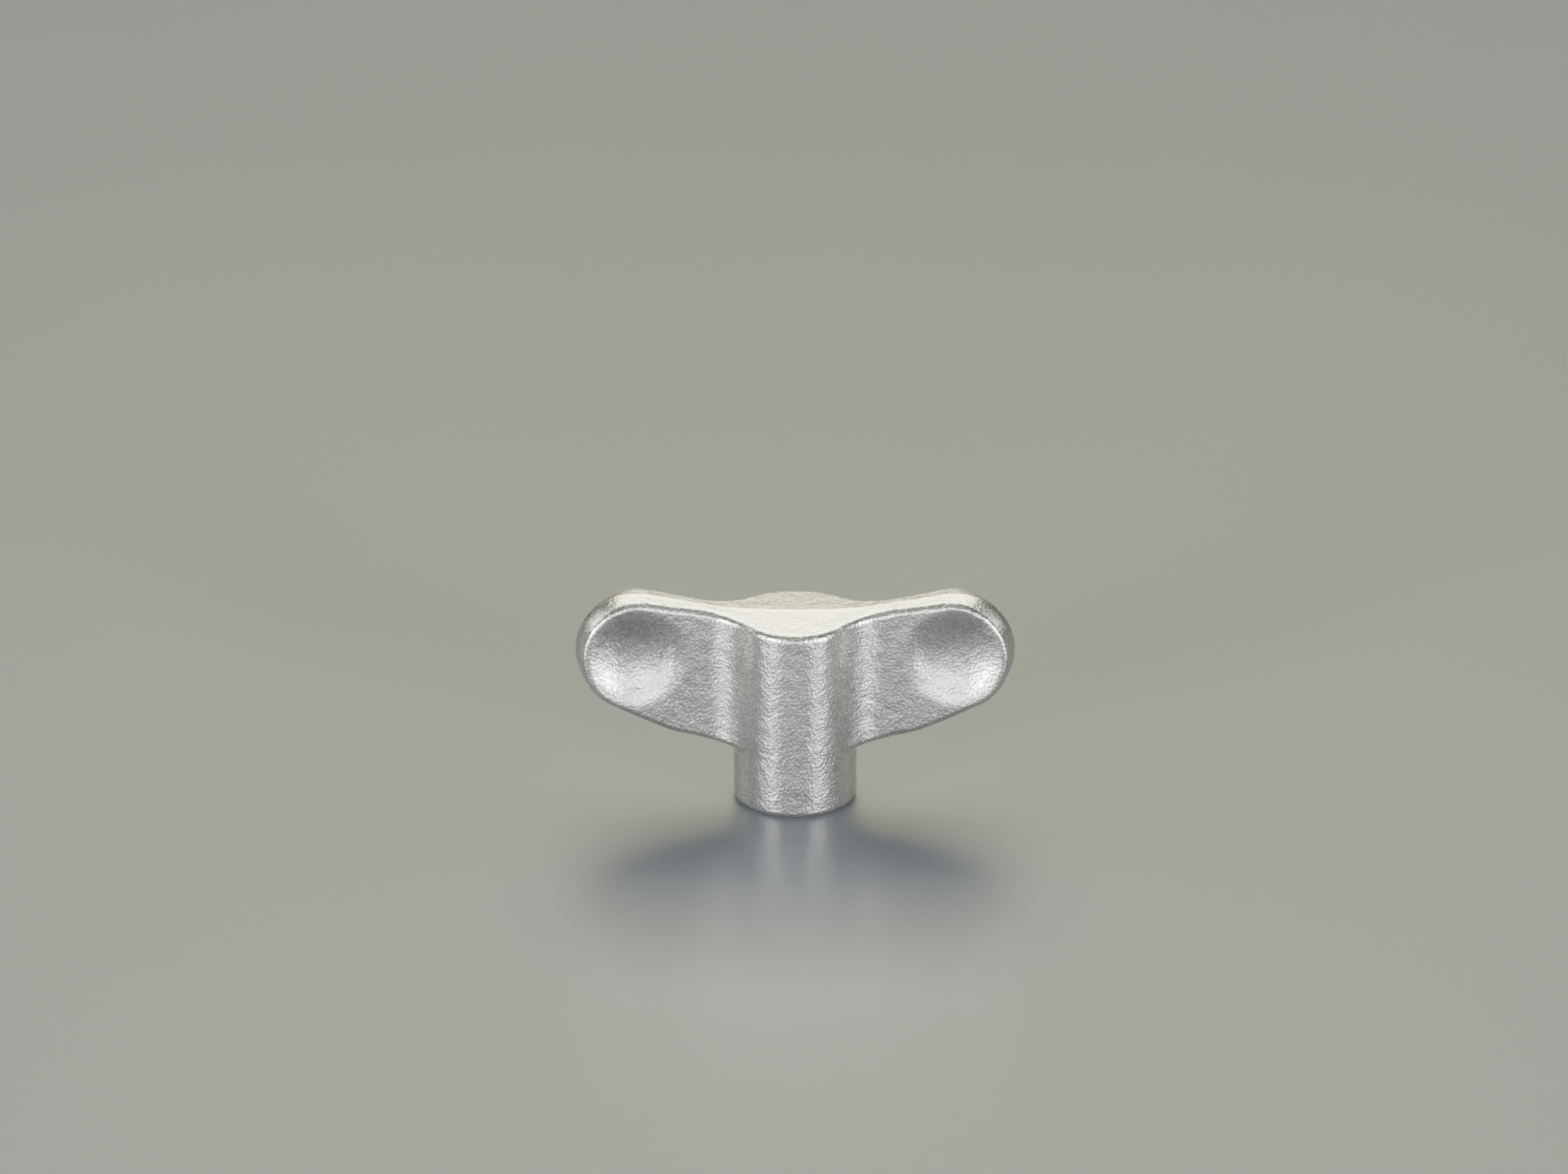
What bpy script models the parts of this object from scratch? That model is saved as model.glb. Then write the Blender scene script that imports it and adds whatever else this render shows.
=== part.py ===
# Closed-top wing nut: a cast body with two thumb wings and a blind bore,
# and a bush pressed into that bore, which carries the thread.
# Metres, +Z up. The origin is the middle of the hub's bottom face, Z runs along the thread,
# X along the wings and Y through their thickness. The body is alike left and right, front and back.

from math import cos, pi, radians, sqrt, tan

import bmesh
import bpy
import numpy as np

MM = 0.001

# Casting, seen from above: round hub, hollow fillets, and wing faces that spread outwards
SPAN = 52.0 * MM
HUB_RADIUS = 7.325 * MM
ROOT_FILLET = 8.0 * MM
FACE_AT_AXIS = 1.02 * MM
FACE_SPREAD = 0.094

# Casting, seen from the front, on its parting plane
HUB_TOP = 23.87 * MM
LOBE_RADIUS = 7.08 * MM
LOBE_X = SPAN / 2 - LOBE_RADIUS
LOBE_Z = 18.88 * MM
TOP_SLOPE = 0.185
TOP_BLEND = 0.6 * MM
UNDER_OUTER_SLOPE = 0.5
UNDER_INNER_SLOPE = 0.235
UNDER_AT_AXIS = 5.38 * MM
UNDER_BLEND = 0.34 * MM

# Draft and edge roundings of the casting
DRAFT = radians(3.6)
EDGE_RADIUS = 0.8 * MM
TIP_EDGE_RADIUS = 0.55 * MM
TIP_CROWN_RADIUS = 5.9 * MM
TIP_EDGE_FROM = 17.5 * MM
TIP_EDGE_TO = 24.0 * MM
LOW_EDGE_SHARE = 0.25
LOW_EDGE_FROM = 12.5 * MM
LOW_EDGE_TO = 17.5 * MM
FOOT_RADIUS = 0.75 * MM
COVE_RADIUS = 0.9 * MM
COVE_HALF_WIDTH = 4.85 * MM
COVE_LEAST = 0.02
HUB_CORE_TOP = 12.0 * MM

# Thumb dimples, one on each face of each wing
DIMPLE_RADIUS = 5.5 * MM
DIMPLE_DEPTH = 1.3 * MM
DIMPLE_EDGE = 0.45 * MM

# Blind bore, and the bush in it, bored to the inner diameter of an M8 x 1.25 thread
FIT_GAP = 0.2 * MM
BUSH_RADIUS = 5.1 * MM
BUSH_LENGTH = 14.0 * MM
BUSH_RECESS = 0.2 * MM
BUSH_CHAMFER = 0.5 * MM
GROOVE_DEPTH = 0.2 * MM
GROOVE_WIDTH = 1.2 * MM
GROOVE_HEIGHTS = (4.0 * MM, 9.0 * MM)
BORE_RADIUS = BUSH_RADIUS + FIT_GAP
BORE_DEPTH = 15.0 * MM
BORE_CHAMFER = 0.2 * MM
DRILL_POINT = radians(118.0)
THREAD_MINOR = 3.32 * MM
COUNTERSINK = 4.3 * MM

# Mesh of the casting: counts of cells, how far its rough cage stands inside the true surface,
# and the range round the join of hub and wings over which the mesh is evened out
HUB_COLUMNS = 14
WING_COLUMNS = 22
DEPTH_COLUMNS = 10
WING_ROWS = 16
HUB_ROWS = 8
HUB_EDGE = 0.9 * HUB_RADIUS
CAGE_SHARE = 0.97
CAGE_ROUNDS = 12
EASE_ROUNDS = 20
EASE_FULL = 1.5 * MM
EASE_NONE = 4.0 * MM
HALVINGS = 24
LEAST_STEEPNESS = 0.25

# Segments of the turned shapes
BORE_SEGMENTS = 48
BUSH_SEGMENTS = 48


def clear_scene():
    for old in list(bpy.data.objects):
        bpy.data.objects.remove(old, do_unlink=True)


def metal(name, colour, roughness):
    material = bpy.data.materials.new(name)
    material.use_nodes = True
    shader = material.node_tree.nodes["Principled BSDF"]
    shader.inputs["Base Color"].default_value = (*colour, 1.0)
    shader.inputs["Metallic"].default_value = 1.0
    shader.inputs["Roughness"].default_value = roughness
    material.diffuse_color = (*colour, 1.0)
    return material


def add_object(name, mesh, material, smooth_angle=30.0):
    mesh.validate()
    mesh.shade_smooth()
    mesh.set_sharp_from_angle(angle=radians(smooth_angle))
    mesh.materials.append(material)
    node = bpy.data.objects.new(name, mesh)
    bpy.context.scene.collection.objects.link(node)
    return node


# ---- distances of the casting: negative inside the metal, positive outside ----

def smooth_step(value, low, high):
    share = np.clip((value - low) / (high - low), 0.0, 1.0)
    return share * share * (3.0 - 2.0 * share)


def smooth_max(a, b, width):
    return (a + b + np.sqrt((a - b) ** 2 + width * width)) / 2.0


def round_cut(a, b, radius):
    """Overlap of two shapes whose shared edge is rounded."""
    corner = np.hypot(np.maximum(a + radius, 0.0), np.maximum(b + radius, 0.0))
    return np.minimum(np.maximum(a, b) + radius, 0.0) + corner - radius


def round_join(a, b, radius):
    """Sum of two shapes with a hollow fillet where they meet."""
    return -round_cut(-a, -b, radius)


def fillet_centre():
    """Centre of the arc that touches the hub circle and the wing face, seen from above."""
    lean = sqrt(1.0 + FACE_SPREAD ** 2)
    offset = FACE_AT_AXIS + ROOT_FILLET * lean
    reach = HUB_RADIUS + ROOT_FILLET
    half = offset * FACE_SPREAD
    x = (-half + sqrt(half ** 2 - lean ** 2 * (offset ** 2 - reach ** 2))) / lean ** 2
    return x, offset + FACE_SPREAD * x


def plan_distance(x, y):
    """Distance to the outline seen from above: hub circle, fillet arc, wing face."""
    x, y = np.abs(x), np.abs(y)
    lean = sqrt(1.0 + FACE_SPREAD ** 2)
    centre_x, centre_y = fillet_centre()
    face_x = centre_x + ROOT_FILLET * FACE_SPREAD / lean
    face_y = FACE_AT_AXIS + FACE_SPREAD * face_x
    hub = np.hypot(x, y) - HUB_RADIUS
    arc = ROOT_FILLET - np.hypot(x - centre_x, y - centre_y)
    face = (y - FACE_AT_AXIS - FACE_SPREAD * x) / lean
    past_arc = (x - face_x) + FACE_SPREAD * (y - face_y) > 0.0
    wing = np.where(past_arc | (y > centre_y), face, arc)
    return np.where(x * centre_y < y * centre_x, hub, wing)


def lobe_touch(slope, side):
    """Point where a straight edge of this slope touches the round lobe, above or below."""
    lean = sqrt(1.0 + slope ** 2)
    return LOBE_X - side * LOBE_RADIUS * slope / lean, LOBE_Z + side * LOBE_RADIUS / lean


def top_height(x):
    """Top edge of the wing: level over the hub, then a straight rise to the lobe."""
    touch_x, touch_z = lobe_touch(TOP_SLOPE, 1)
    return smooth_max(HUB_TOP, touch_z + TOP_SLOPE * (x - touch_x), TOP_BLEND)


def under_height(x):
    """Lower edge of the wing: a shallow rise from the hub, then a steeper one to the lobe."""
    touch_x, touch_z = lobe_touch(UNDER_OUTER_SLOPE, -1)
    inner = UNDER_AT_AXIS + UNDER_INNER_SLOPE * x
    return smooth_max(inner, touch_z + UNDER_OUTER_SLOPE * (x - touch_x), UNDER_BLEND)


def front_distance(x, z):
    """Distance to the wings' outline seen from the front: web and round lobe together."""
    step = 1.0e-6
    top, under = top_height(x), under_height(x)
    top_slope = (top_height(x + step) - top) / step
    under_slope = (under_height(x + step) - under) / step
    above = (z - top) / np.hypot(1.0, top_slope)
    below = (under - z) / np.hypot(1.0, under_slope)
    (high_x, high_z), (low_x, low_z) = lobe_touch(TOP_SLOPE, 1), lobe_touch(UNDER_OUTER_SLOPE, -1)
    run_x, run_z = low_x - high_x, low_z - high_z
    beyond = ((z - high_z) * run_x - (x - high_x) * run_z) / sqrt(run_x ** 2 + run_z ** 2)
    lobe = np.hypot(x - LOBE_X, z - LOBE_Z) - LOBE_RADIUS
    return np.minimum(lobe, np.maximum(np.maximum(above, below), beyond))


def dimple_distance(x, y, z):
    """Distance to the ball that presses a dimple square into the sloping wing face."""
    lean = sqrt(1.0 + FACE_SPREAD ** 2)
    ball = (DIMPLE_RADIUS ** 2 + DIMPLE_DEPTH ** 2) / (2.0 * DIMPLE_DEPTH)
    back_off = ball - DIMPLE_DEPTH
    ball_x = LOBE_X - FACE_SPREAD / lean * back_off
    ball_y = FACE_AT_AXIS + FACE_SPREAD * LOBE_X + back_off / lean
    return np.sqrt((x - ball_x) ** 2 + (y - ball_y) ** 2 + (z - LOBE_Z) ** 2) - ball


def casting_distance(points):
    x, y, z = np.abs(points[:, 0]), np.abs(points[:, 1]), points[:, 2]
    at_tip = smooth_step(x, TIP_EDGE_FROM, TIP_EDGE_TO)
    high_up = smooth_step(z, LOW_EDGE_FROM, LOW_EDGE_TO)
    share = at_tip * (LOW_EDGE_SHARE + (1.0 - LOW_EDGE_SHARE) * high_up)
    edge = EDGE_RADIUS + (TIP_EDGE_RADIUS - EDGE_RADIUS) * share
    crown = share * y**2 / (2.0 * TIP_CROWN_RADIUS)
    drafted = (front_distance(x, z) + y * tan(DRAFT) + crown) * cos(DRAFT)
    wings = round_cut(drafted, plan_distance(x, y), edge)
    hub = np.maximum(np.hypot(x, y) - HUB_RADIUS, z - HUB_CORE_TOP)
    cove = COVE_RADIUS * np.clip(1.0 - (y / COVE_HALF_WIDTH) ** 2, COVE_LEAST, 1.0)
    solid = round_cut(round_join(hub, wings, cove), -z, FOOT_RADIUS)
    return round_cut(solid, -dimple_distance(x, y, z), DIMPLE_EDGE)


def settle_on_casting(points, rounds, reach=1.0 * MM):
    """Move points along the slope of the distance until they lie on the surface."""
    step = 2.0e-6
    for _ in range(rounds):
        slope = np.empty_like(points)
        for axis in range(3):
            nudge = np.zeros(3)
            nudge[axis] = step
            ahead, behind = casting_distance(points + nudge), casting_distance(points - nudge)
            slope[:, axis] = (ahead - behind) / (2.0 * step)
        steepness = np.maximum((slope ** 2).sum(axis=1), LEAST_STEEPNESS)
        move = np.clip(casting_distance(points) / steepness, -reach, reach)
        points = points - move[:, None] * slope
    return points


def even_out_join(points, quads, rounds):
    """Ease the mesh where the wings' lower edge runs into the hub: each point there moves
    halfway to the mean of its neighbours, and back onto the surface."""
    starts = np.concatenate([quads.ravel(), np.roll(quads, -1, axis=1).ravel()])
    ends = np.concatenate([np.roll(quads, -1, axis=1).ravel(), quads.ravel()])
    count = np.bincount(starts, minlength=len(points))[:, None]
    away = np.hypot(np.abs(points[:, 0]) - HUB_RADIUS, points[:, 2] - under_height(HUB_RADIUS))
    share = 0.5 * (1.0 - smooth_step(away, EASE_FULL, EASE_NONE))[:, None]
    for _ in range(rounds):
        sums = [np.bincount(starts, points[ends, axis], len(points)) for axis in range(3)]
        mean = np.stack(sums, axis=1) / count
        points = settle_on_casting(points + share * (mean - points), rounds=2)
    return points


def lattice_skin(filled):
    """Outer quads of a block of filled cells, all facing outwards."""
    padded = np.pad(filled, 1)
    found = []
    for axis in range(3):
        first, second = np.eye(3, dtype=int)[(axis + 1) % 3], np.eye(3, dtype=int)[(axis + 2) % 3]
        lower = np.take(padded, range(padded.shape[axis] - 1), axis)
        upper = np.take(padded, range(1, padded.shape[axis]), axis)
        for facing_up, mask in ((True, lower & ~upper), (False, upper & ~lower)):
            corner = np.argwhere(mask) - first - second
            quads = np.stack([corner, corner + first, corner + first + second, corner + second], 1)
            found.append(quads if facing_up else quads[:, ::-1])
    quads = np.concatenate(found)
    places, index = np.unique(quads.reshape(-1, 3), axis=0, return_inverse=True)
    return places, index.reshape(-1, 4)


def face_height(x):
    """Half thickness of the metal at each x, found by halving the interval."""
    low, high = np.zeros_like(x), np.full_like(x, HUB_RADIUS)
    for _ in range(HALVINGS):
        middle = (low + high) / 2.0
        inside = plan_distance(x, middle) < 0.0
        low, high = np.where(inside, middle, low), np.where(inside, high, middle)
    return low


def casting_cage(places):
    """Rough place of each lattice corner: a T of cells bent to wings, lobes and hub."""
    column, depth, row = places.T.astype(float)
    across = column - (HUB_COLUMNS / 2 + WING_COLUMNS)
    from_hub = np.abs(across) - HUB_COLUMNS / 2
    in_hub = HUB_EDGE * np.abs(across) / (HUB_COLUMNS / 2)
    in_wing = HUB_EDGE + (SPAN / 2 - HUB_EDGE) * from_hub / WING_COLUMNS
    x = np.where(from_hub <= 0.0, in_hub, in_wing)
    up = np.sin(pi / 2 * np.clip(2.0 * (row - HUB_ROWS) / WING_ROWS - 1.0, -1.0, 1.0))
    side = np.sin(pi / 2 * (2.0 * depth / DEPTH_COLUMNS - 1.0))

    top, under = top_height(x), under_height(np.maximum(x, HUB_EDGE))
    out = np.clip((x - LOBE_X) / LOBE_RADIUS, 0.0, 1.0)
    web_z = (top + under) / 2 + (top - under) / 2 * up
    lobe_z = LOBE_Z + LOBE_RADIUS * up * np.sqrt(1.0 - out ** 2 / 2)
    blend = np.clip(3.0 * out, 0.0, 1.0)
    z = web_z * (1.0 - blend) + lobe_z * blend
    x = np.where(out > 0.0, LOBE_X + LOBE_RADIUS * out * np.sqrt(1.0 - up ** 2 / 2), x)
    y = CAGE_SHARE * side * face_height(x)

    low = row < HUB_ROWS
    square = np.clip(x / HUB_EDGE, 0.0, 1.0)
    x = np.where(low, HUB_RADIUS * square * np.sqrt(1.0 - side ** 2 / 2), x)
    y = np.where(low, HUB_RADIUS * side * np.sqrt(1.0 - square ** 2 / 2), y)
    z = np.where(low, under_height(HUB_EDGE) * (1.0 - np.cos(pi / 2 * row / HUB_ROWS)), z)
    return np.column_stack([x * np.sign(across), y, z])


def turned_body(name, profile, segments, ring=False):
    """Closed body made by spinning a half profile of (radius, height) points about Z. The
    profile runs from the axis back to the axis, or round a closed loop for a ring."""
    shape = bmesh.new()
    line = [shape.verts.new((radius, 0.0, height)) for radius, height in profile]
    ends = line[1:] + line[:1] if ring else line[1:]
    edges = [shape.edges.new(pair) for pair in zip(line, ends)]
    bmesh.ops.spin(shape, geom=line + edges, cent=(0, 0, 0), axis=(0, 0, 1),
                   angle=2 * pi, steps=segments, use_merge=True)
    bmesh.ops.remove_doubles(shape, verts=shape.verts, dist=1.0e-6)
    bmesh.ops.recalc_face_normals(shape, faces=shape.faces)
    mesh = bpy.data.meshes.new(name)
    shape.to_mesh(mesh)
    shape.free()
    return mesh


def add_bore_cutter():
    overshoot = 1.0 * MM
    point_height = BORE_RADIUS / tan(DRILL_POINT / 2)
    flare = BORE_CHAMFER + overshoot
    profile = [(0.0, -overshoot), (BORE_RADIUS + flare, -overshoot), (BORE_RADIUS, BORE_CHAMFER),
               (BORE_RADIUS, BORE_DEPTH), (0.0, BORE_DEPTH + point_height)]
    cutter = bpy.data.objects.new("bore_cutter", turned_body("bore_cutter", profile, BORE_SEGMENTS))
    bpy.context.scene.collection.objects.link(cutter)
    cutter.hide_render = True
    cutter.display_type = "WIRE"
    return cutter


def add_wing_body(material):
    columns = HUB_COLUMNS + 2 * WING_COLUMNS
    filled = np.zeros((columns, DEPTH_COLUMNS, HUB_ROWS + WING_ROWS), dtype=bool)
    filled[:, :, HUB_ROWS:] = True
    filled[WING_COLUMNS:WING_COLUMNS + HUB_COLUMNS, :, :] = True
    places, quads = lattice_skin(filled)
    points = settle_on_casting(casting_cage(places), CAGE_ROUNDS)
    points = even_out_join(points, quads, EASE_ROUNDS)
    mesh = bpy.data.meshes.new("wing_body")
    mesh.from_pydata(points.tolist(), [], quads.tolist())
    body = add_object("wing_body", mesh, material)
    bore = body.modifiers.new("blind bore", "BOOLEAN")
    bore.operation = "DIFFERENCE"
    bore.solver = "EXACT"
    bore.object = add_bore_cutter()
    return body


def add_threaded_bush(material):
    """Ring with a countersink at each end and shallow grooves that lock it in the casting. Its
    bore is left plain at the thread's inner diameter, so that a stud's collision shape fits."""
    low, high = BUSH_RECESS, BUSH_RECESS + BUSH_LENGTH
    cone = COUNTERSINK - THREAD_MINOR
    profile = [(THREAD_MINOR, high - cone), (THREAD_MINOR, low + cone), (COUNTERSINK, low)]
    profile += [(BUSH_RADIUS - BUSH_CHAMFER, low), (BUSH_RADIUS, low + BUSH_CHAMFER)]
    for middle in GROOVE_HEIGHTS:
        start, end = middle - GROOVE_WIDTH / 2, middle + GROOVE_WIDTH / 2
        floor = BUSH_RADIUS - GROOVE_DEPTH
        profile += [(BUSH_RADIUS, start), (floor, start + GROOVE_DEPTH)]
        profile += [(floor, end - GROOVE_DEPTH), (BUSH_RADIUS, end)]
    profile += [(BUSH_RADIUS, high - BUSH_CHAMFER), (BUSH_RADIUS - BUSH_CHAMFER, high)]
    profile += [(COUNTERSINK, high)]
    mesh = turned_body("threaded_bush", profile, BUSH_SEGMENTS, ring=True)
    return add_object("threaded_bush", mesh, material)


clear_scene()
add_wing_body(metal("shot blasted casting", (0.55, 0.55, 0.56), 0.45))
add_threaded_bush(metal("turned steel", (0.42, 0.41, 0.40), 0.3))
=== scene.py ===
import math

import bmesh
import bpy
import numpy as np
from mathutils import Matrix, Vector


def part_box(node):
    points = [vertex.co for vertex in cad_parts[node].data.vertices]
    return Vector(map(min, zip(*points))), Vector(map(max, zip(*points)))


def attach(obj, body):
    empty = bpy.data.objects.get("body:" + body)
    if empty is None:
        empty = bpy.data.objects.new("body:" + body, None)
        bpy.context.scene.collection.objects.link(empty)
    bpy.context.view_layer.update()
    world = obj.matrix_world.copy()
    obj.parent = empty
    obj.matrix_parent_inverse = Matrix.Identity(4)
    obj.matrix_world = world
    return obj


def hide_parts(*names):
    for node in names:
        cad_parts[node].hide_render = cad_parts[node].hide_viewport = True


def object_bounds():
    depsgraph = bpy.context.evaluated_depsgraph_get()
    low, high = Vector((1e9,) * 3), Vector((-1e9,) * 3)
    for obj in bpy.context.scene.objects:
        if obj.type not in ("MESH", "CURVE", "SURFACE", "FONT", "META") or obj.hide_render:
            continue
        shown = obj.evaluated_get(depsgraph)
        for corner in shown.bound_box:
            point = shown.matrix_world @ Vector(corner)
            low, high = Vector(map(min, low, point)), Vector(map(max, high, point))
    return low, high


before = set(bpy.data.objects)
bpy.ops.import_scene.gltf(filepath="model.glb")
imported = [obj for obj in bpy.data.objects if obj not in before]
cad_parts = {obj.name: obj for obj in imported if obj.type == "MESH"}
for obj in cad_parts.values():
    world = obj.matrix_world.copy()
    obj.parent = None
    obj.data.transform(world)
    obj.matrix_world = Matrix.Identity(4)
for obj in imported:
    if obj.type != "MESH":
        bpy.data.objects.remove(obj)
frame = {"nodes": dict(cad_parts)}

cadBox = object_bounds()
mm = 0.001
print("frame loaded:", ", ".join(frame["nodes"]))


# ---- shader maths ----

class Value:
    # one socket's value; a sum or product of values adds its Math node
    def __init__(self, finish, socket):
        self.finish, self.socket = finish, socket

    def maths(self, operation, *terms):
        return self.finish.node("ShaderNodeMath", {"operation": operation}, dict(enumerate(terms)))

    def __add__(self, other):
        return self.maths("ADD", self, other)

    def __radd__(self, other):
        return self.maths("ADD", other, self)

    def __mul__(self, other):
        return self.maths("MULTIPLY", self, other)

    def __rmul__(self, other):
        return self.maths("MULTIPLY", other, self)


class Finish:
    # a material under construction
    def __init__(self, name):
        self.material = bpy.data.materials.new(name)
        self.material.use_nodes = True
        self.tree = self.material.node_tree
        self.shader = self.tree.nodes["Principled BSDF"]
        self.place = self.node("ShaderNodeTexCoord", {}, {}, "Object")

    def node(self, kind, settings, sockets, output=0):
        # settings first, then each socket gets a number, a colour or a link
        made = self.tree.nodes.new(kind)
        for name, setting in settings.items():
            if name == "stops":
                self.fillRamp(made.color_ramp, setting)
            else:
                setattr(made, name, setting)
        for name, given in sockets.items():
            self.feed(made.inputs[name], given)
        return Value(self, made.outputs[output])

    def feed(self, socket, given):
        if isinstance(given, Value):
            self.tree.links.new(given.socket, socket)
        else:
            socket.default_value = given

    def fillRamp(self, ramp, stops):
        while len(ramp.elements) < len(stops):
            ramp.elements.new(1.0)
        for element, (position, colour) in zip(ramp.elements, stops):
            element.position = position
            element.color = colour

    def colours(self, factor, low, high):
        # Mix of two colours: sockets 6 and 7 are the colours, output 2 is the colour
        return self.node("ShaderNodeMix", {"data_type": "RGBA"}, {0: factor, 6: low, 7: high}, 2)

    def ramp(self, value, stops):
        greys = [(position, (grey, grey, grey, 1.0)) for position, grey in stops]
        return self.node("ShaderNodeValToRGB", {"stops": greys}, {"Fac": value})

    def noise(self, scale, detail=2.0):
        return self.node("ShaderNodeTexNoise", {},
                         {"Vector": self.place, "Scale": scale, "Detail": detail, "Roughness": 0.5}, "Fac")

    def cells(self, scale, smoothness):
        return self.node("ShaderNodeTexVoronoi", {"feature": "SMOOTH_F1"},
                         {"Vector": self.place, "Scale": scale, "Smoothness": smoothness}, "Distance")

    def bump(self, height, distance, under=None):
        # the height in metres at full strength, on top of another bump where one is given
        sockets = {"Height": height, "Distance": distance, "Strength": 1.0}
        if under:
            sockets["Normal"] = under
        return self.node("ShaderNodeBump", {}, sockets, "Normal")

    def shade(self, **inputs):
        for name, given in inputs.items():
            self.feed(self.shader.inputs[name.replace("_", " ")], given)
        return self.material


# ---- finishes ----

castFinish = {
    "grain": 0.34 * mm, "grainHeight": 0.038 * mm,
    "cellSmoothness": 0.6, "noiseShare": 0.6, "noiseStretch": 1.25,
    "fineGrain": 0.17 * mm, "fineHeight": 0.013 * mm,
    "patchSize": 4.0 * mm, "paintedSpeckleRange": (0.35, 1.0), "paintedSpeckleShare": 0.75,
    # silver and shadowSilver are lit and shaded copies of the metal, the two ends of a painted speckle of
    # light and shade on the grain
    "silver": (0.90, 0.89, 0.850, 1.0), "shadowSilver": (0.56, 0.554, 0.529, 1.0),
    "roughness": (0.27, 0.34),
}


def blastedCasting():
    c = castFinish
    made = Finish("blasted casting")
    # pebbled grain: round cells and a slightly wider noise added together
    pebbles = made.cells(1.0 / c["grain"], c["cellSmoothness"])
    grain = pebbles + c["noiseShare"] * made.noise(1.0 / (c["noiseStretch"] * c["grain"]), detail=1.0)
    fine = made.noise(1.0 / c["fineGrain"], detail=1.0)
    patches = made.noise(1.0 / c["patchSize"], detail=3.0)
    start, end = c["paintedSpeckleRange"]
    # painted highlight and shade: the grain's speckle is painted into the colour, bright where the grain is
    # low and darker where it is high; tone mixes this painted speckle with random patchy tone
    paintedGrainSpeckle = made.ramp(grain, [(start, 1.0), (end, 0.0)])
    tone = paintedGrainSpeckle * c["paintedSpeckleShare"] + patches * (1.0 - c["paintedSpeckleShare"])
    colour = made.colours(tone, c["shadowSilver"], c["silver"])
    low, high = c["roughness"]
    rough = low + (high - low) * patches
    surface = made.bump(grain, c["grainHeight"])
    surface = made.bump(fine, c["fineHeight"], under=surface)
    return made.shade(Base_Color=colour, Metallic=1.0, Roughness=rough, Normal=surface)


steelFinish = {
    "rings": 0.12 * mm, "ringHeight": 0.004 * mm, "stainSize": 1.5 * mm,
    "steel": (0.50, 0.49, 0.47, 1.0), "stain": (0.36, 0.35, 0.33, 1.0), "roughness": (0.22, 0.38),
}


def turnedSteel():
    c = steelFinish
    made = Finish("turned steel")
    # distance from the thread's axis, for the tool's rings on the end faces
    flat = made.node("ShaderNodeVectorMath", {"operation": "MULTIPLY"}, {0: made.place, 1: (1.0, 1.0, 0.0)})
    radius = made.node("ShaderNodeVectorMath", {"operation": "LENGTH"}, {0: flat}, "Value")
    height = made.node("ShaderNodeSeparateXYZ", {}, {0: made.place}, "Z")
    phase = (radius + height) * (2.0 * math.pi / c["rings"])
    rings = phase.maths("SINE", phase)
    stain = made.noise(1.0 / c["stainSize"], detail=4.0)
    low, high = c["roughness"]
    return made.shade(Base_Color=made.colours(stain, c["steel"], c["stain"]), Metallic=1.0,
                      Roughness=low + (high - low) * stain, Normal=made.bump(rings, c["ringHeight"]))


sheetFinish = {
    "grain": 0.5 * mm, "grainHeight": 0.004 * mm, "patchSize": 60.0 * mm,
    "tone": (0.117, 0.130, 0.146, 1.0), "darkTone": (0.112, 0.124, 0.140, 1.0),
    "roughness": 0.40, "ior": 1.36,
}


def studioSheet():
    c = sheetFinish
    made = Finish("studio sheet")
    tone = made.colours(made.noise(1.0 / c["patchSize"]), c["darkTone"], c["tone"])
    return made.shade(Base_Color=tone, Roughness=c["roughness"], IOR=c["ior"],
                      Normal=made.bump(made.noise(1.0 / c["grain"]), c["grainHeight"]))


# ---- casting: distances, negative inside the metal ----

low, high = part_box("wing_body")
casting = {
    "span": high[0] - low[0], "hubRadius": (high[1] - low[1]) / 2, "rootFillet": 8.0 * mm,
    "faceAtAxis": 1.02 * mm, "faceSpread": 0.094,
    "hubTop": 23.87 * mm, "lobeRadius": 7.08 * mm, "lobeHeight": 18.88 * mm,
    "topSlope": 0.185, "topBlend": 0.6 * mm,
    "underOuterSlope": 0.5, "underInnerSlope": 0.235, "underAtAxis": 5.38 * mm, "underBlend": 0.34 * mm,
    "draft": math.radians(3.6), "edge": 0.8 * mm,
    "tipEdge": 0.55 * mm, "tipCrown": 5.9 * mm, "tipEdgeRange": (17.5 * mm, 24.0 * mm),
    "lowEdgeShare": 0.25, "lowEdgeRange": (12.5 * mm, 17.5 * mm),
    "foot": 0.75 * mm, "cove": 0.9 * mm, "coveHalfWidth": 4.85 * mm, "coveLeast": 0.02,
    "dimpleRadius": 5.5 * mm, "dimpleDepth": 1.3 * mm, "dimpleEdge": 0.45 * mm,
    "boreRadius": 5.3 * mm, "boreDepth": 15.0 * mm, "boreEdge": 0.2 * mm,
    "drillHalfAngle": math.radians(59.0), "roof": 3.0 * mm,
}
casting["lobeX"] = casting["span"] / 2 - casting["lobeRadius"]
skinDetail = {
    "hubColumns": 60, "boreColumns": 42, "wingColumns": 96, "depthColumns": 40, "boreDepthColumns": 28,
    "wingRows": 64, "hubRows": 34, "boreRows": 24,
    "hubEdgeShare": 0.9, "insetShare": 0.97, "jointShare": 0.985, "lobeBlend": 3.0,
    "halvings": 30, "settleRounds": 12, "longestMove": 1.0 * mm, "leastSteepness": 0.25,
    "seamLines": 4, "seamStep": 0.05 * mm, "crowding": 0.85,
    "easeRange": (1.5 * mm, 4.0 * mm), "easeRounds": 40, "easeClear": 1.0 * mm,
    "waveCount": 36, "waveLengths": (1.1 * mm, 3.5 * mm), "waveHeight": 0.010 * mm,
    "lipHeight": 0.035 * mm, "lipWidth": 0.07 * mm, "lipAt": 0.09 * mm, "seamDepth": 0.03 * mm,
    "beltTilt": 0.2,
}
# steps that never fall into a pattern: the golden angle, and one over the golden and the plastic ratio
goldenAngle, goldenStep, plasticStep = 2.399963, 0.618034, 0.754878
hair = 1.0e-6        # keeps divisions from zero, and equal numbers equal


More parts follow.
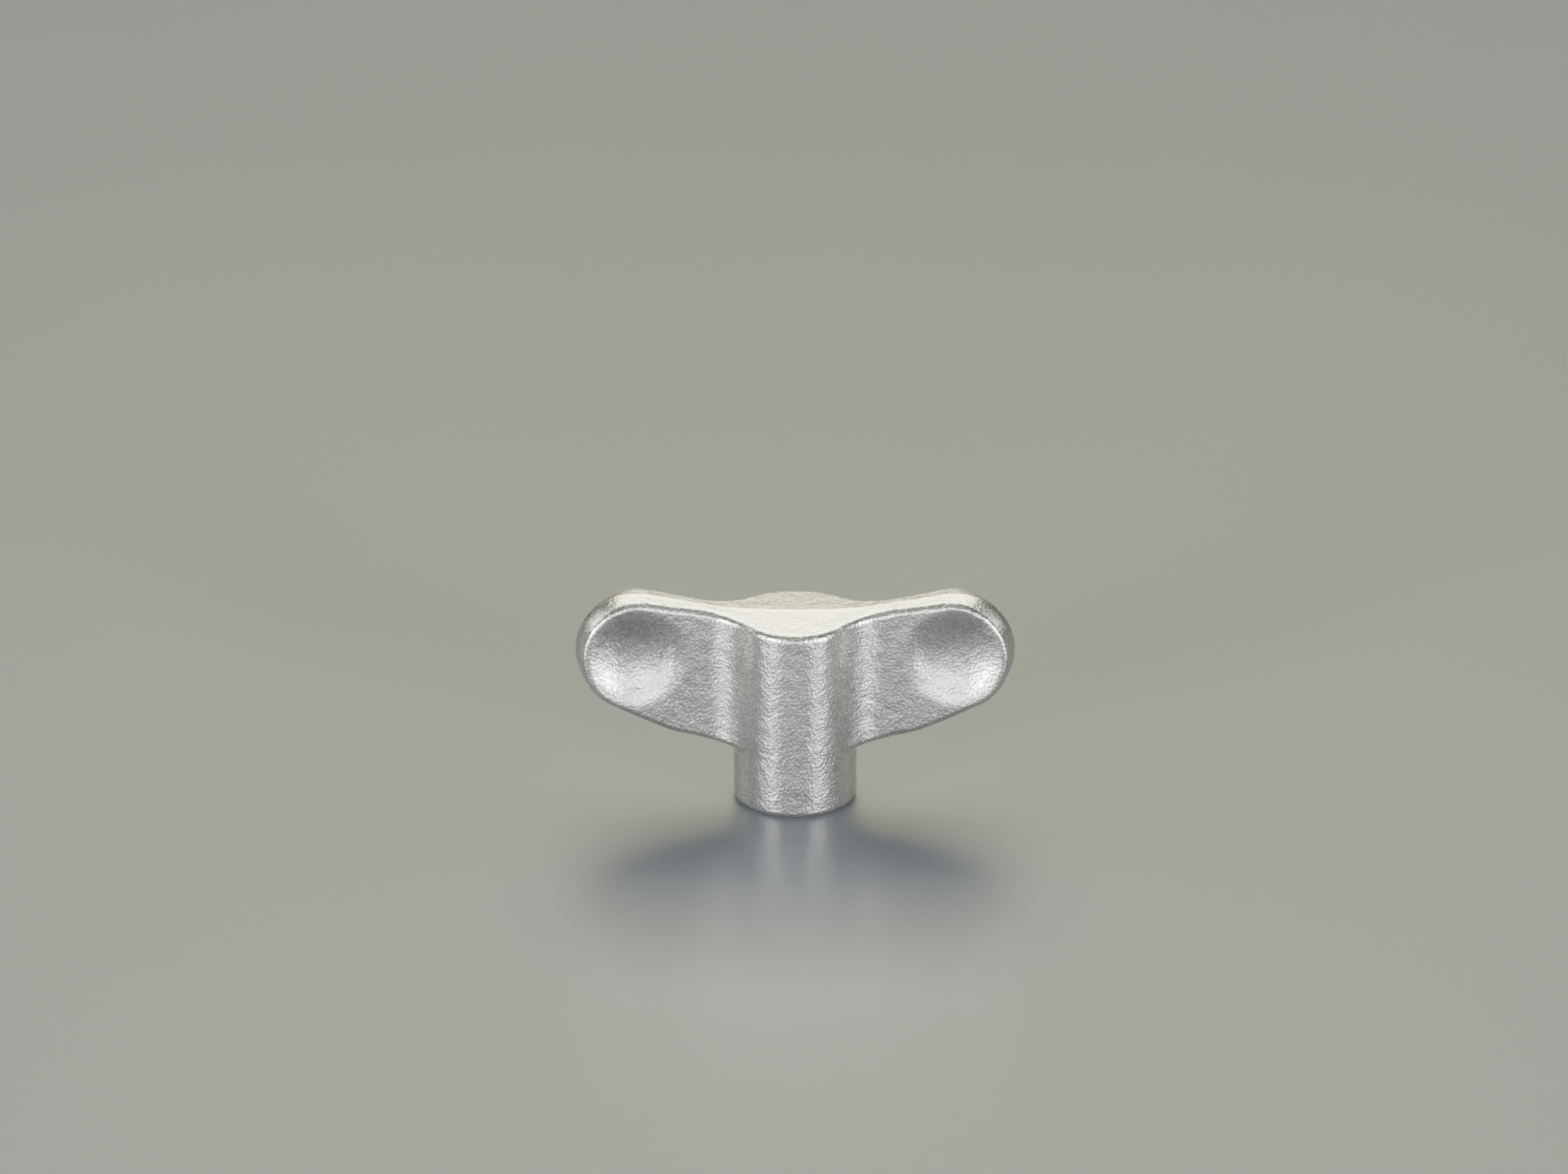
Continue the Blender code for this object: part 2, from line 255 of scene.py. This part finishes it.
def smoothStep(value, start, end):
    share = np.clip((value - start) / (end - start), 0.0, 1.0)
    return share * share * (3.0 - 2.0 * share)


def smoothMax(a, b, width):
    # the larger of two heights, the corner between them rounded: half of sum plus root of squares
    return (a + b + np.sqrt((a - b) ** 2 + width * width)) / 2.0


def roundCut(a, b, radius):
    # overlap of two shapes; within one radius of both faces the distance is that of a round edge
    corner = np.hypot(np.maximum(a + radius, 0.0), np.maximum(b + radius, 0.0))
    return np.minimum(np.maximum(a, b) + radius, 0.0) + corner - radius


def roundJoin(a, b, radius):
    # sum of two shapes, the same formula turned inside out, so the join is a hollow fillet
    return -roundCut(-a, -b, radius)


def planDistance(x, y):
    # seen from above: hub circle, then an arc that touches circle and wing face, then the face line
    c = casting
    x, y = np.abs(x), np.abs(y)
    lean = math.sqrt(1.0 + c["faceSpread"] ** 2)
    offset, reach = c["faceAtAxis"] + c["rootFillet"] * lean, c["hubRadius"] + c["rootFillet"]
    half = offset * c["faceSpread"]
    arcX = (-half + math.sqrt(half ** 2 - lean ** 2 * (offset ** 2 - reach ** 2))) / lean ** 2
    arcY = offset + c["faceSpread"] * arcX
    faceX = arcX + c["rootFillet"] * c["faceSpread"] / lean
    faceY = c["faceAtAxis"] + c["faceSpread"] * faceX
    hub = np.hypot(x, y) - c["hubRadius"]
    arc = c["rootFillet"] - np.hypot(x - arcX, y - arcY)
    face = (y - c["faceAtAxis"] - c["faceSpread"] * x) / lean
    pastArc = (x - faceX) + c["faceSpread"] * (y - faceY) > 0.0
    return np.where(x * arcY < y * arcX, hub, np.where(pastArc | (y > arcY), face, arc))


def lobeTouch(slope, side):
    # where a straight edge of this slope touches the round lobe, above (1) or below (-1)
    c = casting
    lean = math.sqrt(1.0 + slope ** 2)
    reach = side * c["lobeRadius"] / lean
    return c["lobeX"] - reach * slope, c["lobeHeight"] + reach


def topHeight(x):
    touchX, touchZ = lobeTouch(casting["topSlope"], 1)
    return smoothMax(casting["hubTop"], touchZ + casting["topSlope"] * (x - touchX), casting["topBlend"])


def underHeight(x):
    c = casting
    touchX, touchZ = lobeTouch(c["underOuterSlope"], -1)
    return smoothMax(c["underAtAxis"] + c["underInnerSlope"] * x,
                     touchZ + c["underOuterSlope"] * (x - touchX), c["underBlend"])


def frontDistance(x, z):
    # seen from the front: the web between top and under edges, joined to the round lobe
    c = casting
    step = 0.001 * mm
    top, under = topHeight(x), underHeight(x)
    above = (z - top) / np.hypot(1.0, (topHeight(x + step) - top) / step)
    below = (under - z) / np.hypot(1.0, (underHeight(x + step) - under) / step)
    (highX, highZ), (lowX, lowZ) = lobeTouch(c["topSlope"], 1), lobeTouch(c["underOuterSlope"], -1)
    runX, runZ = lowX - highX, lowZ - highZ
    beyond = ((z - highZ) * runX - (x - highX) * runZ) / math.hypot(runX, runZ)
    lobe = np.hypot(x - c["lobeX"], z - c["lobeHeight"]) - c["lobeRadius"]
    return np.minimum(lobe, np.maximum(np.maximum(above, below), beyond))


def dimpleDistance(x, y, z):
    # a ball sunk square into the sloping wing face: its radius follows from the dimple's width and depth
    c = casting
    lean = math.sqrt(1.0 + c["faceSpread"] ** 2)
    ball = (c["dimpleRadius"] ** 2 + c["dimpleDepth"] ** 2) / (2.0 * c["dimpleDepth"])
    out = ball - c["dimpleDepth"]
    ballX = c["lobeX"] - c["faceSpread"] / lean * out
    ballY = c["faceAtAxis"] + c["faceSpread"] * c["lobeX"] + out / lean
    return np.sqrt((x - ballX) ** 2 + (y - ballY) ** 2 + (z - c["lobeHeight"]) ** 2) - ball


def castingDistance(points):
    c = casting
    x, y, z = np.abs(points[:, 0]), np.abs(points[:, 1]), points[:, 2]
    tip = smoothStep(x, *c["tipEdgeRange"])
    share = tip * (c["lowEdgeShare"] + (1.0 - c["lowEdgeShare"]) * smoothStep(z, *c["lowEdgeRange"]))
    edge = c["edge"] + (c["tipEdge"] - c["edge"]) * share
    # the tips' belt is crowned by the sagitta of a circle, y squared over twice its radius
    crown = share * y ** 2 / (2.0 * c["tipCrown"])
    drafted = (frontDistance(x, z) + y * math.tan(c["draft"]) + crown) * math.cos(c["draft"])
    wings = roundCut(drafted, planDistance(x, y), edge)
    fromAxis = np.hypot(x, y)
    hub = np.maximum(fromAxis - c["hubRadius"], z - c["hubTop"] / 2)
    cove = c["cove"] * np.clip(1.0 - (y / c["coveHalfWidth"]) ** 2, c["coveLeast"], 1.0)
    solid = roundCut(roundJoin(hub, wings, cove), -z, c["foot"])
    solid = roundCut(solid, -dimpleDistance(x, y, z), c["dimpleEdge"])
    drillEnd = c["boreDepth"] + (c["boreRadius"] - fromAxis) / math.tan(c["drillHalfAngle"])
    bore = np.maximum(fromAxis - c["boreRadius"], (z - drillEnd) * math.sin(c["drillHalfAngle"]))
    return roundCut(solid, -bore, c["boreEdge"])


def castingSlope(points):
    step = 0.002 * mm
    slope = np.empty_like(points)
    for axis in range(3):
        nudge = np.zeros(3)
        nudge[axis] = step
        slope[:, axis] = (castingDistance(points + nudge) - castingDistance(points - nudge)) / (2.0 * step)
    return slope


def settle(points, rounds):
    # each round moves every point along the slope by its distance, until all lie on the surface
    longest, least = skinDetail["longestMove"], skinDetail["leastSteepness"]
    for _ in range(rounds):
        slope = castingSlope(points)
        steepness = np.maximum((slope ** 2).sum(axis=1), least)
        move = np.clip(castingDistance(points) / steepness, -longest, longest)
        points = points - move[:, None] * slope
    return points


def halfThickness(x):
    # half thickness of the plan at each x, by halving the interval
    low, high = np.zeros_like(x), np.full_like(x, casting["hubRadius"])
    for _ in range(skinDetail["halvings"]):
        middle = (low + high) / 2.0
        inside = planDistance(x, middle) < 0.0
        low, high = np.where(inside, middle, low), np.where(inside, high, middle)
    return low


def latticeSkin(filled):
    # outer quads of a block of filled cells; corners shared by neighbouring quads become one point
    padded = np.pad(filled, 1)
    found = []
    for axis in range(3):
        first, second = np.eye(3, dtype=int)[(axis + 1) % 3], np.eye(3, dtype=int)[(axis + 2) % 3]
        lower = np.take(padded, range(padded.shape[axis] - 1), axis)
        upper = np.take(padded, range(1, padded.shape[axis]), axis)
        for facingUp, mask in ((True, lower & ~upper), (False, upper & ~lower)):
            corner = np.argwhere(mask) - first - second
            quads = np.stack([corner, corner + first, corner + first + second, corner + second], 1)
            found.append(quads if facingUp else quads[:, ::-1])
    quads = np.concatenate(found)
    places, index = np.unique(quads.reshape(-1, 3), axis=0, return_inverse=True)
    return places, index.reshape(-1, 4)


def depthPlace(step, thickness):
    # lines from the parting plane outwards: a few close together beside the seam, then spread to the
    # face with a quarter sine so that they crowd towards the edge
    d = skinDetail
    count = np.abs(step)
    seam = d["seamLines"] * d["seamStep"]
    spread = np.clip((count - d["seamLines"]) / (d["depthColumns"] / 2 - d["seamLines"]), 0.0, 1.0)
    crowded = np.sin(math.pi / 2 * d["crowding"] * spread) / math.sin(math.pi / 2 * d["crowding"])
    away = np.minimum(count, d["seamLines"]) * d["seamStep"] + (thickness - seam) * crowded
    return np.sign(step) * away


def castingCage(places):
    # a T of cells bent to the casting: wings spread along X, lobes squeezed to discs, hub to a tube
    c, d = casting, skinDetail
    column, depth, row = places.T.astype(float)
    across = column - (d["hubColumns"] / 2 + d["wingColumns"])
    fromHub = np.abs(across) - d["hubColumns"] / 2
    step = depth - d["depthColumns"] / 2
    hubEdge = d["hubEdgeShare"] * c["hubRadius"]
    square = np.clip(np.abs(across) / (d["hubColumns"] / 2), 0.0, 1.0)
    x = hubEdge * square + (c["span"] / 2 - hubEdge) * np.maximum(fromHub, 0.0) / d["wingColumns"]
    up = np.clip(2.0 * (row - d["hubRows"]) / d["wingRows"] - 1.0, -1.0, 1.0)
    up = np.sin(math.pi / 2 * d["crowding"] * up) / math.sin(math.pi / 2 * d["crowding"])

    # wings and upper hub: rows spread between the under and the top edge, and over the lobe's disc
    top, under = topHeight(x), underHeight(np.maximum(x, hubEdge))
    out = np.clip((x - c["lobeX"]) / c["lobeRadius"], 0.0, 1.0)
    blend = np.clip(d["lobeBlend"] * out, 0.0, 1.0)
    lobe = c["lobeHeight"] + c["lobeRadius"] * up * np.sqrt(1.0 - out ** 2 / 2)
    z = ((top + under) / 2 + (top - under) / 2 * up) * (1.0 - blend) + lobe * blend
    x = np.where(out > 0.0, c["lobeX"] + c["lobeRadius"] * out * np.sqrt(1.0 - up ** 2 / 2), x)
    y = depthPlace(step, d["insetShare"] * halfThickness(x))

    # lower hub and bore: rings of a square laid on circles, and eased into the wings' rows above
    side = depthPlace(step, c["hubRadius"]) / c["hubRadius"]
    boreRing = d["boreColumns"] / d["hubColumns"]
    ring = np.maximum(np.maximum(square, np.abs(step) / (d["depthColumns"] / 2)), hair)
    ringSide = depthPlace(step, ring * c["hubRadius"]) / (ring * c["hubRadius"])
    share = np.clip((ring - boreRing) / (1.0 - boreRing), 0.0, 1.0)
    radius = np.where(ring <= boreRing + hair, c["boreRadius"] * ring / boreRing,
                      c["boreRadius"] + (c["hubRadius"] - c["boreRadius"]) * share)
    acrossRing, alongRing = np.clip(square / ring, 0.0, 1.0), np.clip(ringSide, -1.0, 1.0)
    discX = radius * acrossRing * np.sqrt(1.0 - alongRing ** 2 / 2)
    discY = radius * alongRing * np.sqrt(1.0 - acrossRing ** 2 / 2)
    low = row < d["hubRows"]
    inBore = low & (ring <= boreRing + hair)
    ease = np.where(inBore, 0.0, (row / d["hubRows"]) ** 2)
    x = np.where(low, discX * (1.0 - ease) + x * ease, x)
    y = np.where(low, discY * (1.0 - ease) + y * ease, y)
    joint = d["jointShare"] * underHeight(hubEdge)
    z = np.where(low, joint * (1.0 - np.cos(math.pi / 2 * row / d["hubRows"])), z)
    z = np.where(inBore, c["boreDepth"] * row / d["boreRows"], z)
    return np.column_stack([x * np.sign(across), y, z])


def evenOut(points, quads, rounds):
    # where the wings' lower edge runs into the hub, each point goes halfway to its neighbours' mean
    c, d = casting, skinDetail
    starts = np.concatenate([quads.ravel(), np.roll(quads, -1, axis=1).ravel()])
    ends = np.concatenate([np.roll(quads, -1, axis=1).ravel(), quads.ravel()])
    count = np.bincount(starts, minlength=len(points))[:, None]
    away = np.hypot(np.abs(points[:, 0]) - c["hubRadius"], points[:, 2] - underHeight(c["hubRadius"]))
    outside = np.hypot(points[:, 0], points[:, 1]) > c["boreRadius"] + d["easeClear"]
    share = ((1.0 - smoothStep(away, *d["easeRange"])) * outside / 2.0)[:, None]
    for _ in range(rounds):
        sums = [np.bincount(starts, points[ends, axis], len(points)) for axis in range(3)]
        points = settle(points + share * (np.stack(sums, axis=1) / count - points), 1)
    return points


def skinRelief(points, normals):
    # height of the cast skin over the smooth shape: a sum of plane waves in scattered directions,
    # and beside the parting plane a bell-shaped lip with a bell-shaped groove in the plane itself
    c, d = casting, skinDetail
    number = np.arange(d["waveCount"])
    longitude, latitude = goldenAngle * number, np.arcsin(1.0 - 2.0 * (number + 0.5) / d["waveCount"])
    heading = np.column_stack([np.cos(latitude) * np.cos(longitude),
                               np.cos(latitude) * np.sin(longitude), np.sin(latitude)])
    shortest, longest = d["waveLengths"]
    length = shortest * (longest / shortest) ** ((number * goldenStep) % 1.0)
    phase = 2.0 * math.pi * ((number * plasticStep) % 1.0)
    waves = np.sin(points @ (2.0 * math.pi * heading / length[:, None]).T + phase).sum(axis=1)
    relief = d["waveHeight"] * waves / math.sqrt(d["waveCount"] / 2)
    lip = d["lipHeight"] * np.exp(-((points[:, 1] + d["lipAt"]) / d["lipWidth"]) ** 2)
    groove = d["seamDepth"] * np.exp(-(points[:, 1] / d["lipWidth"]) ** 2)
    onBelt = np.clip(1.0 - np.abs(normals[:, 1]) / d["beltTilt"], 0.0, 1.0)
    fromAxis = np.hypot(points[:, 0], points[:, 1])
    inBore = (fromAxis < c["boreRadius"] + c["boreEdge"]) & (points[:, 2] < c["hubTop"] - c["roof"])
    castSkin = np.where(inBore, 0.0, smoothStep(points[:, 2], 0.0, c["foot"]))
    return castSkin * (relief + onBelt * (lip - groove))


def newPiece(name, points, faces, finish):
    mesh = bpy.data.meshes.new(name)
    mesh.from_pydata(points, [], faces)
    mesh.shade_smooth()
    mesh.materials.append(finish)
    piece = bpy.data.objects.new(name, mesh)
    bpy.context.scene.collection.objects.link(piece)
    return piece


def makeCasting(finish):
    d = skinDetail
    columns = d["hubColumns"] + 2 * d["wingColumns"]
    filled = np.zeros((columns, d["depthColumns"], d["hubRows"] + d["wingRows"]), dtype=bool)
    filled[:, :, d["hubRows"]:] = True
    filled[d["wingColumns"]:d["wingColumns"] + d["hubColumns"], :, :] = True
    side = (d["hubColumns"] - d["boreColumns"]) // 2
    inset = (d["depthColumns"] - d["boreDepthColumns"]) // 2
    filled[d["wingColumns"] + side:d["wingColumns"] + side + d["boreColumns"],
           inset:inset + d["boreDepthColumns"], :d["boreRows"]] = False
    places, quads = latticeSkin(filled)
    points = evenOut(settle(castingCage(places), d["settleRounds"]), quads, d["easeRounds"])
    normals = castingSlope(points)
    normals /= np.linalg.norm(normals, axis=1)[:, None]
    points = points + normals * skinRelief(points, normals)[:, None]
    piece = newPiece("wing_casting", points, quads, finish)
    print("wing casting:", len(points), "points,", len(quads), "quads")
    return piece


wingCasting = makeCasting(blastedCasting())
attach(wingCasting, "root")
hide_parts("wing_body")


# ---- bush: thread and knurled outside ----

bushLow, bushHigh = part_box("threaded_bush")
bush = {
    "low": bushLow[2], "high": bushHigh[2], "radius": bushHigh[0], "chamfer": 0.5 * mm,
    "grooveDepth": 0.2 * mm, "grooveWidth": 1.2 * mm, "grooveHeights": (4.0 * mm, 9.0 * mm),
    "pitch": 1.25 * mm, "minor": 3.32 * mm, "major": 4.02 * mm, "countersink": 4.3 * mm,
    "crestFlat": 1.0 / 4.0, "rootFlat": 1.0 / 8.0, "weld": 0.001 * mm,
    "segments": 144, "rowsPerTurn": 12, "teeth": 36, "toothDepth": 0.12 * mm,
    "sharpAngle": math.radians(35.0),
}


def threadRadius(share):
    # one turn from crest to crest: flat crest, straight flank, flat root, straight flank back,
    # the corners eased by a smooth step
    b = bush
    flank = (1.0 - b["crestFlat"] - b["rootFlat"]) / 2.0
    rise = smoothStep(share, b["crestFlat"], b["crestFlat"] + flank) - smoothStep(share, 1.0 - flank, 1.0)
    return b["minor"] + (b["major"] - b["minor"]) * rise


def threadWall(angle):
    # rows climb one pitch in a turn and stop at the end faces, where the countersinks' cones are wider
    b = bush
    turns = int(np.ceil((b["high"] - b["low"]) / b["pitch"])) + 1
    climb = np.arange(turns * b["rowsPerTurn"]) / b["rowsPerTurn"]
    z = b["low"] + b["pitch"] * (climb[None, :] - 1.0 + angle[:, None] / (2.0 * math.pi))
    z = np.clip(z, b["low"], b["high"])
    cone = b["countersink"] - np.minimum(z - b["low"], b["high"] - z)
    return np.maximum(threadRadius(climb % 1.0)[None, :], cone), z


def bushOutline():
    # outer half profile from the lower end face round to the upper one, with two lock grooves
    b = bush
    outside, floor = b["radius"], b["radius"] - b["grooveDepth"]
    points = [(outside - b["chamfer"], b["low"]), (outside, b["low"] + b["chamfer"])]
    for middle in b["grooveHeights"]:
        start, end = middle - b["grooveWidth"] / 2, middle + b["grooveWidth"] / 2
        points += [(outside, start), (floor, start + b["grooveDepth"])]
        points += [(floor, end - b["grooveDepth"]), (outside, end)]
    return np.array(points + [(outside, b["high"] - b["chamfer"]), (outside - b["chamfer"], b["high"])])


def gridQuads(first, columns, rows, climb=0):
    # quads of a grid wrapped round the axis; where it closes, the rows are joined climb rows higher
    corner = first + np.arange(columns)[:, None] * rows + np.arange(rows)[None, :]
    after = np.roll(corner, -1, axis=0)
    inside = np.stack([corner[:-1, :-1], corner[:-1, 1:], after[:-1, 1:], after[:-1, :-1]], axis=-1)
    last = rows - climb
    close = np.stack([corner[-1, :last - 1], corner[-1, 1:last],
                      after[-1, climb + 1:], after[-1, climb:-1]], axis=-1)
    return np.concatenate([inside.reshape(-1, 4), close.reshape(-1, 4)])


def makeBush(finish):
    # inner thread wall and outer wall are grids of angle by row; end faces are one ring of quads each;
    # the outer wall's knurl goes from no depth to a tooth's depth and back with a cosine of the angle
    b = bush
    angle = np.arange(b["segments"]) * 2.0 * math.pi / b["segments"]
    innerRadius, innerHeight = threadWall(angle)
    outline = bushOutline()
    tooth = b["radius"] - b["toothDepth"] * (1.0 - np.cos(b["teeth"] * angle)) / 2.0
    outerRadius = np.minimum(outline[None, :, 0], tooth[:, None])
    outerHeight = np.broadcast_to(outline[None, :, 1], outerRadius.shape)
    points = [np.stack([radius * np.cos(angle)[:, None], radius * np.sin(angle)[:, None], height], axis=-1)
              for radius, height in ((innerRadius, innerHeight), (outerRadius, outerHeight))]
    innerRows, outerRows = innerRadius.shape[1], outerRadius.shape[1]
    inside = gridQuads(0, b["segments"], innerRows, b["rowsPerTurn"])
    outerFirst = b["segments"] * innerRows
    outside = gridQuads(outerFirst, b["segments"], outerRows)[:, ::-1]
    inner, outer = np.arange(b["segments"]) * innerRows, outerFirst + np.arange(b["segments"]) * outerRows
    bottom = np.stack([inner, np.roll(inner, -1), np.roll(outer, -1), outer], axis=-1)
    top = np.stack([np.roll(inner, -1) + innerRows - 1, inner + innerRows - 1,
                    outer + outerRows - 1, np.roll(outer, -1) + outerRows - 1], axis=-1)
    points = np.concatenate([part.reshape(-1, 3) for part in points])
    piece = newPiece("thread_bush", points, np.concatenate([inside, outside, bottom, top]), finish)
    closeMesh(piece.data)
    piece.data.set_sharp_from_angle(angle=b["sharpAngle"])
    print("thread bush:", len(piece.data.vertices), "points,", len(piece.data.polygons), "faces")
    return piece


def closeMesh(mesh):
    # the thread's run-out rows lie on each other at the end faces, so they are merged
    shape = bmesh.new()
    shape.from_mesh(mesh)
    bmesh.ops.remove_doubles(shape, verts=shape.verts, dist=bush["weld"])
    bmesh.ops.dissolve_degenerate(shape, edges=shape.edges, dist=bush["weld"])
    bmesh.ops.recalc_face_normals(shape, faces=shape.faces)
    shape.to_mesh(mesh)
    shape.free()


threadBush = makeBush(turnedSteel())
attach(threadBush, "root")
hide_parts("threaded_bush")


# ---- floor, light and camera ----

studio = {
    "sheetSize": 12.0, "sheetSquares": 60, "lampDistance": 2.25,
    "backdrop": (0.27, 0.275, 0.265, 1.0), "ambient": 0.04, "shownBackdrop": 1.0,
}
# azimuth is measured round from the front towards +X; every panel faces the casting
lamps = {
    "warm back panel": {"azimuth": 180.0, "elevation": 41.0, "width": 1.5, "height": 1.1,
                        "power": 48.0, "colour": (1.0, 0.985, 0.62)},
    "high back panel": {"azimuth": 180.0, "elevation": 62.0, "width": 2.75, "height": 1.25,
                        "power": 45.0, "colour": (1.0, 1.0, 0.94)},
    "left panel": {"azimuth": -43.0, "elevation": 9.0, "width": 0.45, "height": 0.80,
                   "power": 84.0, "colour": (1.0, 1.0, 1.0)},
    "right panel": {"azimuth": 43.0, "elevation": 9.0, "width": 0.40, "height": 0.80,
                    "power": 76.0, "colour": (1.0, 1.0, 1.0)},
    "front card": {"azimuth": 0.0, "elevation": 8.0, "width": 1.1, "height": 0.60,
                   "power": 17.0, "colour": (1.0, 1.0, 1.0)},
    "left side card": {"azimuth": -110.0, "elevation": 25.0, "width": 1.0, "height": 1.0,
                       "power": 13.0, "colour": (1.0, 1.0, 0.93)},
    "right side card": {"azimuth": 110.0, "elevation": 25.0, "width": 1.0, "height": 1.0,
                        "power": 8.0, "colour": (1.0, 1.0, 0.93)},
    "top card": {"azimuth": 0.0, "elevation": 62.0, "width": 1.6, "height": 1.0,
                 "power": 3.5, "colour": (1.0, 1.0, 1.0)},
}


def makeSheet(finish):
    # a level square grid at the foot's height
    count = studio["sheetSquares"] + 1
    line = np.linspace(-studio["sheetSize"] / 2, studio["sheetSize"] / 2, count)
    across, along = np.meshgrid(line, line, indexing="ij")
    points = np.column_stack([across.ravel(), along.ravel(), np.full(across.size, cadBox[0][2])])
    corner = np.arange(count * count).reshape(count, count)[:-1, :-1].ravel()
    quads = np.stack([corner, corner + count, corner + count + 1, corner + 1], axis=-1)
    return newPiece("studio_sheet", points, quads, finish)


def direction(azimuth, elevation):
    # unit vector out from the casting: azimuth 0 is -Y, the front
    a, e = math.radians(azimuth), math.radians(elevation)
    return Vector((math.sin(a) * math.cos(e), -math.cos(a) * math.cos(e), math.sin(e)))


def addLamp(name, lamp, target):
    light = bpy.data.lights.new(name, "AREA")
    light.shape = "RECTANGLE"
    light.size, light.size_y = lamp["width"], lamp["height"]
    light.energy = lamp["power"]
    light.color = lamp["colour"]
    out = direction(lamp["azimuth"], lamp["elevation"])
    holder = bpy.data.objects.new(name, light)
    holder.location = target + out * studio["lampDistance"]
    holder.rotation_euler = out.to_track_quat("Z", "Y").to_euler()
    bpy.context.scene.collection.objects.link(holder)


makeSheet(studioSheet())
for lampName, lamp in lamps.items():
    addLamp(lampName, lamp, Vector((0.0, 0.0, casting["hubTop"] / 2)))
world = bpy.data.worlds.new("studio air")
world.use_nodes = True
air = world.node_tree.nodes["Background"]
air.inputs["Color"].default_value = studio["backdrop"]
# seen directly, the air is a pale backdrop; the casting mirrors far less of it
rays = world.node_tree.nodes.new("ShaderNodeLightPath")
glow = world.node_tree.nodes.new("ShaderNodeMapRange")
glow.inputs["To Min"].default_value = studio["ambient"]
glow.inputs["To Max"].default_value = studio["shownBackdrop"]
world.node_tree.links.new(rays.outputs["Is Camera Ray"], glow.inputs["Value"])
world.node_tree.links.new(glow.outputs["Result"], air.inputs["Strength"])
bpy.context.scene.world = world
print("studio:", len(lamps), "panels")

view = {
    "elevation": 23.0, "azimuth": 0.0, "distance": 600.0 * mm, "lens": 115.9, "sensor": 36.0,
    "right": -1.33 * mm, "up": 24.72 * mm, "towards": -13.0 * mm,
}


def addCamera():
    # the aim lies off the foot's centre along the view's own right and up, and a little along its depth
    v = view
    out = direction(v["azimuth"], v["elevation"])
    right = Vector((0.0, 0.0, 1.0)).cross(out).normalized()
    up = out.cross(right)
    aim = right * v["right"] + up * v["up"] - out * (v["towards"] * math.sin(math.radians(v["elevation"])))
    camera = bpy.data.cameras.new("camera")
    camera.lens, camera.sensor_width = v["lens"], v["sensor"]
    camera.clip_start = 10.0 * mm
    holder = bpy.data.objects.new("camera", camera)
    holder.location = aim + out * v["distance"]
    holder.rotation_euler = out.to_track_quat("Z", "Y").to_euler()
    bpy.context.scene.collection.objects.link(holder)
    bpy.context.scene.camera = holder


addCamera()
